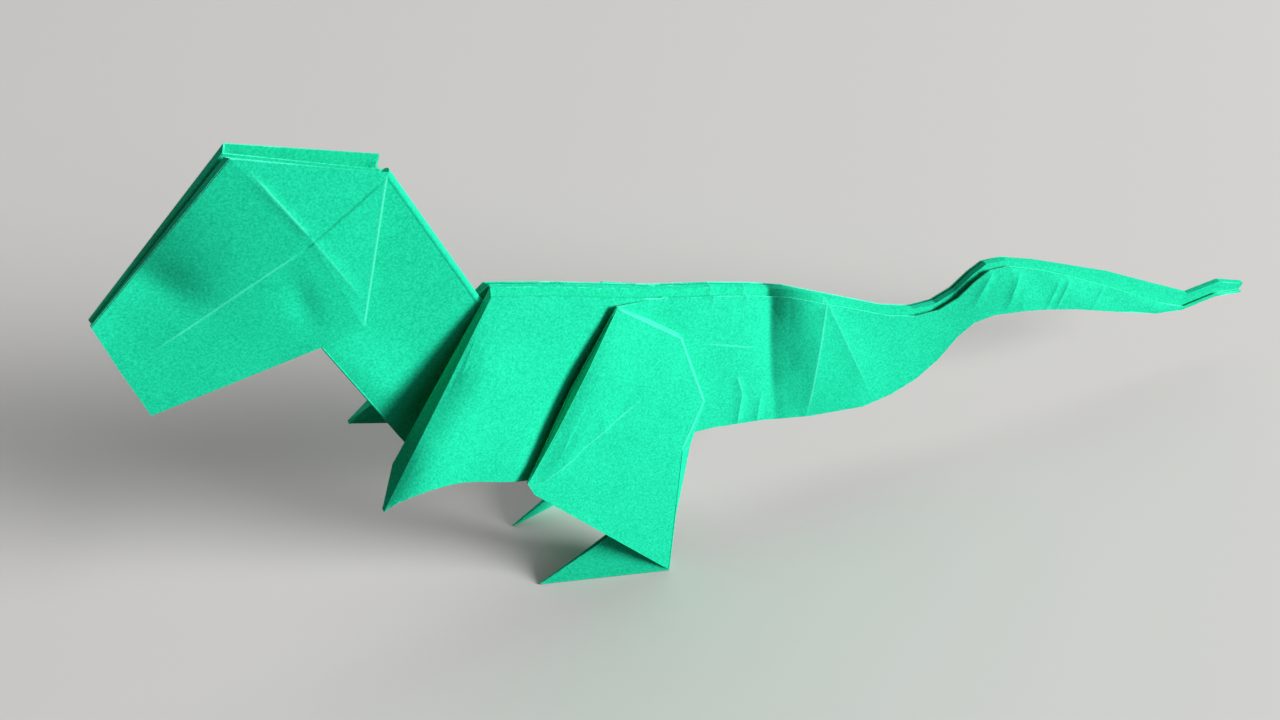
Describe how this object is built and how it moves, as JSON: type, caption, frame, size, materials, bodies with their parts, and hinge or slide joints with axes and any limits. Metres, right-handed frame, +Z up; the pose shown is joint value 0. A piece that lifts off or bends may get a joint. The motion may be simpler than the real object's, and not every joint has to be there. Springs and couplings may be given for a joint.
{
  "type": "folded paper dinosaur",
  "caption": "Two-legged dinosaur folded from one coloured paper square, with a blocky head, small arms and a long tail; stands on the creased edges of its feet as a decoration.",
  "frame": {"origin": "middle of the figure's box, on the surface that the feet stand on", "axes": "+X towards the tail, nose towards -X, +Z up, the two sides mirrored about the XZ plane"},
  "size_m": [0.1654, 0.0204, 0.077],
  "materials": {
    "paper": "matte dyed paper with a fine fibre grain, the same green on both sides"
  },
  "bodies": {
    "root": {"folded_sheet": "paper"}
  },
  "joints": []
}
